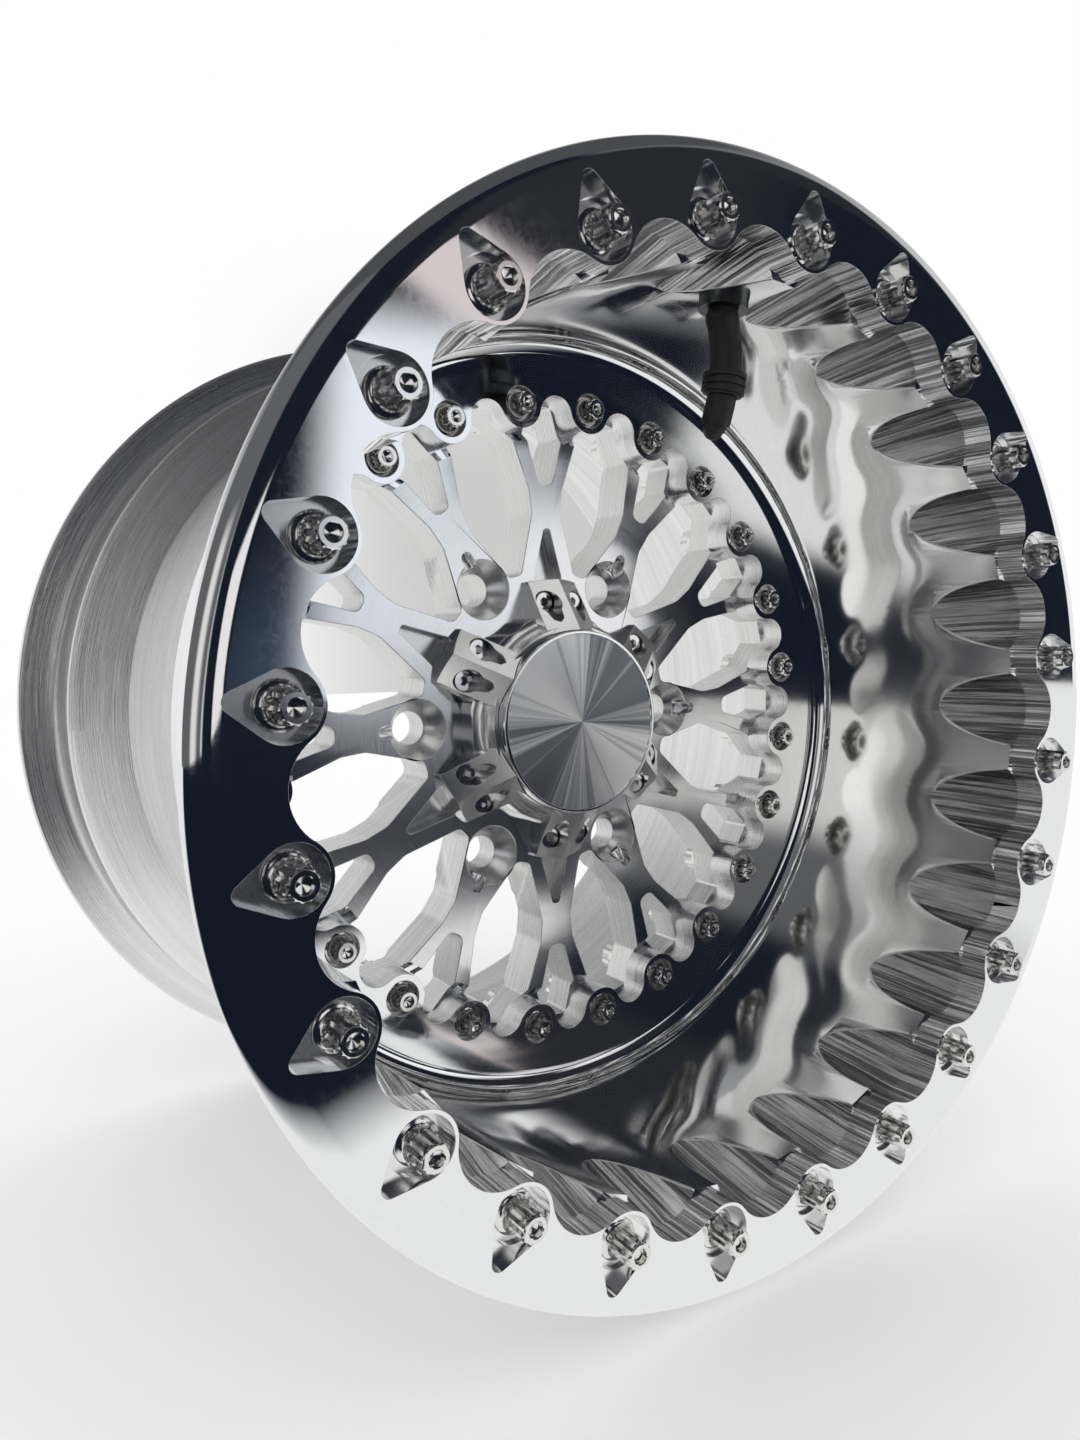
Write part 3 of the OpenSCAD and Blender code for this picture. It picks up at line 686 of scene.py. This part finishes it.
def makeWheelCentre(s):
    made = mergedCopy("wheel_centre")
    # large flat faces are cut into sectors, so that none folds over when its rim is rounded
    for i in range(s["sectors"]):
        a = math.pi * i / s["sectors"]
        bmesh.ops.bisect_plane(made, geom=made.verts[:] + made.edges[:] + made.faces[:],
                               dist=weldGap, plane_co=(0, 0, 0),
                               plane_no=(math.cos(a), 0, math.sin(a)))
    ring = s["ringFace"] - 0.1

    def isHollow(f, r, h):
        # pockets, seats and slopes of the pad, and floors under the ring's face
        return (r < s["pocketEnd"] and 0.5 < h < s["padFace"] - 0.9 and
                -0.9999 < f.normal.y < -0.35 or f.normal.y < -0.99 and h < ring)

    paint(made, 1, lambda f, r, h: abs(f.normal.y) < 0.35)
    paint(made, 2, lambda f, r, h: f.normal.y < -0.99 and h > ring)
    paint(made, 3, isHollow)
    roundEdges(made, s["chamfer"], s["segments"], onPlane(s["padFace"]), 3)
    finishPiece(made, "wheelCentre", [mirror, milled, faced, satin], "wheel_centre")


makeWheelCentre(wheelCentre)


# Hub cap: a carrier with six gabled arms, and the turned disc in it

hubCap = {
    "armFoot": 24.5, "armRim": 0.5, "discRadius": 41.3, "seat": 40, "face": 49.2,
    "rimTop": 49.7, "rimRound": (0.5, 0.5), "lipRound": (0.3, 0.25), "rimWidth": 1.8,
    "plugRadius": 30, "plugEnd": 33, "plugBevel": 1, "middle": 0.05,
}


def makeCapCarrier(s):
    made = mergedCopy("cap_carrier")
    roundEdges(made, s["armRim"], 2,
               lambda e: all(v.co.y < -s["armFoot"] * mm for v in e.verts), 0, sharper=35)
    finishPiece(made, "capCarrier", [satin], "cap_carrier", 35)


def makeCapDisc(s):
    edge, face, top, plug = s["discRadius"], s["face"], s["rimTop"], s["plugRadius"]
    profile = [(s["middle"], s["plugEnd"]), (plug - s["plugBevel"], s["plugEnd"]),
               (plug, s["plugEnd"] + s["plugBevel"]), (plug, s["seat"]), (edge, s["seat"])]
    profile += bend((edge - 0.5, top - 0.5), s["rimRound"], 0, 90, 6)
    profile += bend((edge - 1.3, top - 0.25), s["lipRound"], 90, 180, 4)
    profile += [(edge - s["rimWidth"], face), (s["middle"], face)]
    made = spinProfile(profile, 192)
    paint(made, 1, lambda f, r, h: abs(h - face) < 0.02 and r < edge - 1.7)
    finishPiece(made, "capDisc", [mirror, disc], "cap_disc", 25)


makeCapCarrier(hubCap)
makeCapDisc(hubCap)


# Bolts: a dished flange under a twelve-pointed head with a recess in its end

lockBolt = {"circle": 180, "seat": 158, "flangeRadius": 7.5, "flats": 8.8, "height": 14,
            "recess": 2.6, "length": 20}
assemblyBolt = {"circle": 143.1, "seat": 30, "flangeRadius": 7.1, "flats": 8.4, "height": 10.1,
                "recess": 2.4, "length": 37.9}
# what both have; the head's points stand out by "reach" and start above the flange's dish
boltHead = {"shank": 4, "middle": 0.02, "edge": 0.5, "edgeHeight": 0.7, "dishTop": 4.6,
            "dishHeight": 3.2, "chamfer": 0.25, "recessDepth": 2.2, "recessTip": 2.8,
            "reach": 1.115, "points": 24, "pointsFrom": 3.4, "crown": 0.9, "crownWidth": 0.7,
            "crownHeight": 0.45}


def makeBolts(s, head, name, replaces):
    top, rim, shank, middle = s["height"], s["flangeRadius"], head["shank"], head["middle"]
    edge, bevel, recess = head["edge"], head["chamfer"], s["recess"]
    half, dish = s["flats"] / 2, head["dishTop"]
    stem, well = half - 0.02, rim - 0.9
    profile = [(middle, -s["length"]), (shank, -s["length"]), (shank, 0), (rim - 0.4, 0)]
    profile += bend((rim - edge, head["edgeHeight"]), (edge, edge), -60, 60, 5)
    profile += bend((well, dish), (well - half, head["dishHeight"]), 270, 180, 8)
    profile += [(stem, dish), (stem, top - bevel), (stem - bevel, top), (recess + bevel, top),
                (recess, top - bevel), (recess, top - head["recessDepth"]),
                (middle, top - head["recessTip"])]
    made = spinProfile(profile, 40)
    corners = []
    for i in range(head["points"]):
        reach, a = half * (head["reach"] if i % 2 else 1.0), math.tau * i / head["points"]
        corners.append((reach * math.cos(a), reach * math.sin(a)))
    star = prism(corners, head["pointsFrom"], top - head["crown"])
    crown = [f for f in star.faces if f.normal.y < -0.9][0]
    bmesh.ops.inset_region(star, faces=[crown], thickness=head["crownWidth"] * mm,
                           depth=head["crownHeight"] * mm, use_even_offset=True)
    bmesh.ops.delete(star, geom=[crown], context="FACES")
    holder = bpy.data.meshes.new("star")
    star.to_mesh(holder)
    star.free()
    made.from_mesh(holder)
    bpy.data.meshes.remove(holder)
    bmesh.ops.translate(made, verts=made.verts, vec=(s["circle"] * mm, -s["seat"] * mm, 0))
    finishPiece(around(made), name, [steel], replaces, 28)


makeBolts(lockBolt, boltHead, "lockBolts", "beadlock_bolts")
makeBolts(assemblyBolt, boltHead, "assemblyBolts", "assembly_bolts")


# Stage: a white floor and backdrop. What polished metal mirrors is a studio whose camera side
# is dark, with a few pale panels, as round any bright wheel in a photograph

stage = {
    "floorZ": -207.4, "floorRadius": 4.0, "floorWhite": 0.85, "floorGlow": 0.15,
    "floorRough": 0.9,
    # the floor's dark part, which only reflections show: metres from the wheel's middle
    "apronX": 0.12, "apron": 0.41, "apronEdge": 0.05, "behind": 0.12, "slant": 0.7,
    "slantEdge": 0.25, "floorPale": (0.86, 0.86, 0.855), "floorDark": (0.007, 0.01, 0.019),
    # what is mirrored from above: pale walls, then a dark ceiling, by height of the ray
    "walls": (0.9, 0.9, 0.9), "ceiling": (0.07, 0.072, 0.076), "ceilingFrom": 0.3,
    "ceilingTo": 0.8,
}

# dark flags, then pale windows: azimuth from the front to the right and elevation in degrees,
# half width and half height at unit distance, turn, softness, colour
panels = {
    "frontDark": (6, 0, 0.66, 1.9, 0, 0.06, (0.007, 0.01, 0.019)),
    "topDark": (46, 30, 0.42, 0.34, -8, 0.06, (0.02, 0.022, 0.028)),
    "rightDark": (55, 8, 0.16, 0.26, 0, 0.05, (0.007, 0.01, 0.019)),
    "blueHaze": (21, -8, 0.05, 0.16, 8, 0.1, (0.06, 0.09, 0.14)),
    "glow": (26.8, 5, 0.095, 0.2, -6, 0.03, (0.86, 0.9, 0.96)),
    "warmPanel": (30, 18.5, 0.085, 0.035, -35, 0.012, (0.72, 0.64, 0.64)),
    "lowGlow": (41, -5, 0.15, 0.22, 6, 0.04, (0.95, 0.95, 0.95)),
    "leftWindow": (1, 4, 0.15, 0.14, 6, 0.02, (0.85, 0.83, 0.82)),
    "leftDark": (-66, 12, 0.75, 1.5, 0, 0.08, (0.12, 0.122, 0.128)),
    "leftGlow": (-52, 0, 0.16, 0.5, -6, 0.1, (0.75, 0.74, 0.72)),
    "backBar": (150, 20, 0.12, 0.7, 0, 0.1, (0.3, 0.31, 0.32)),
}

# painted shadow: the backdrop is a little darker where the wheel stands in front of it
backdropShade = (147, 1, 0.2, 0.24, 0, 0.12, (0.6, 0.6, 0.595))


def panelGroup():
    # mask of one panel: the ray is turned until the panel lies straight ahead
    group, entry = newGroup("panel", ["Mask"], Azimuth=0.0, Elevation=0.0, Width=0.2,
                            Height=0.2, Turn=0.0, Soft=0.05)
    ray = addNode(group, "ShaderNodeTexCoord").outputs["Generated"]
    for axis, name, way in (((0, 0, 1), "Azimuth", -1.0), ((1, 0, 0), "Elevation", 1.0),
                            ((0, 1, 0), "Turn", 1.0)):
        angle = mathNode(group, "RADIANS", mathNode(group, "MULTIPLY", entry[name], way))
        ray = addNode(group, "ShaderNodeVectorRotate", {
            "Axis": axis, "Vector": ray, "Angle": angle},
            rotation_type="AXIS_ANGLE").outputs[0]
    split = addNode(group, "ShaderNodeSeparateXYZ", {"Vector": ray}).outputs
    ahead = mathNode(group, "MAXIMUM", mathNode(group, "MULTIPLY", split["Y"], -1.0), 0.001)
    outer = mathNode(group, "MULTIPLY", entry["Soft"], -1.0)
    masks = []
    for axis, size in (("X", "Width"), ("Z", "Height")):
        off = mathNode(group, "ABSOLUTE", mathNode(group, "DIVIDE", split[axis], ahead))
        masks.append(addNode(group, "ShaderNodeMapRange", {
            "Value": mathNode(group, "SUBTRACT", entry[size], off), "From Min": outer,
            "From Max": entry["Soft"]}, interpolation_type="SMOOTHSTEP").outputs["Result"])
    return closeGroup(group, Mask=mathNode(group, "MULTIPLY", *masks))


panel = panelGroup()


def laidOver(tree, under, azimuth, elevation, width, height, turn, soft, tint):
    mask = useGroup(tree, panel, Azimuth=float(azimuth), Elevation=float(elevation),
                    Width=width, Height=height, Turn=float(turn), Soft=soft)["Mask"]
    return mixColours(tree, mask, under, (*tint, 1))


def makeWorld(s):
    world = bpy.data.worlds.new("studio")
    world.use_nodes = True
    tree = world.node_tree
    tree.nodes.clear()
    ray = addNode(tree, "ShaderNodeTexCoord").outputs["Generated"]
    height = addNode(tree, "ShaderNodeSeparateXYZ", {"Vector": ray}).outputs["Z"]
    studio = mixColours(tree, spread(tree, height, 0.0, 1.0, s["ceilingFrom"], s["ceilingTo"]),
                        (*s["walls"], 1), (*s["ceiling"], 1))
    for values in panels.values():
        studio = laidOver(tree, studio, *values)
    white = (1, 1, 1, 1)
    mirrored, seen, plain = (
        addNode(tree, "ShaderNodeBackground", {"Color": colour, "Strength": 1.0}).outputs[0]
        for colour in (studio, laidOver(tree, white, *backdropShade), white))
    paths = addNode(tree, "ShaderNodeLightPath").outputs
    lit = mixShaders(tree, paths["Is Glossy Ray"], plain, mirrored)
    addNode(tree, "ShaderNodeOutputWorld", {
        "Surface": mixShaders(tree, paths["Is Camera Ray"], lit, seen)})
    bpy.context.scene.world = world


def makeFloor(s):
    made = bmesh.new()
    bmesh.ops.create_circle(made, cap_ends=True, segments=96, radius=s["floorRadius"])
    bmesh.ops.translate(made, verts=made.verts, vec=(0, 0, s["floorZ"] * mm))
    floor = loose(made, "floor")
    material, tree, shader = newMaterial("floor", metallic=0.0)
    white = s["floorWhite"]
    shader.inputs["Base Color"].default_value = (white, white, white, 1)
    shader.inputs["Roughness"].default_value = s["floorRough"]
    shader.inputs["Specular IOR Level"].default_value = 0.0
    shader.inputs["Emission Color"].default_value = (1, 1, 1, 1)
    shader.inputs["Emission Strength"].default_value = s["floorGlow"]
    # the dark studio begins a little in front of the wheel, in the metal's reflections only
    x, y, z = addNode(tree, "ShaderNodeSeparateXYZ", {
        "Vector": addNode(tree, "ShaderNodeTexCoord").outputs["Object"]}).outputs
    away = distanceTo(tree, mathNode(tree, "SUBTRACT", x, s["apronX"]), y)
    slant = mathNode(tree, "ADD", x, mathNode(tree, "MULTIPLY", y, s["slant"]))
    inFront = mathNode(tree, "MULTIPLY", spread(tree, y, 1.0, 0.0, 0.0, s["behind"]),
                       spread(tree, slant, 1.0, 0.0, 0.0, s["slantEdge"]))
    mask = mathNode(tree, "MULTIPLY", inFront, spread(
        tree, away, 0.0, 1.0, s["apron"], s["apron"] + s["apronEdge"]))
    mirrored = addNode(tree, "ShaderNodeEmission", {"Color": mixColours(
        tree, mask, (*s["floorPale"], 1), (*s["floorDark"], 1))}).outputs[0]
    glossy = addNode(tree, "ShaderNodeLightPath").outputs["Is Glossy Ray"]
    tree.links.new(mixShaders(tree, glossy, shader.outputs[0], mirrored),
                   tree.get_output_node("ALL").inputs["Surface"])
    floor.data.materials.append(material)


makeWorld(stage)
makeFloor(stage)
bpy.context.scene.view_settings.view_transform = "Standard"
print("stage made")
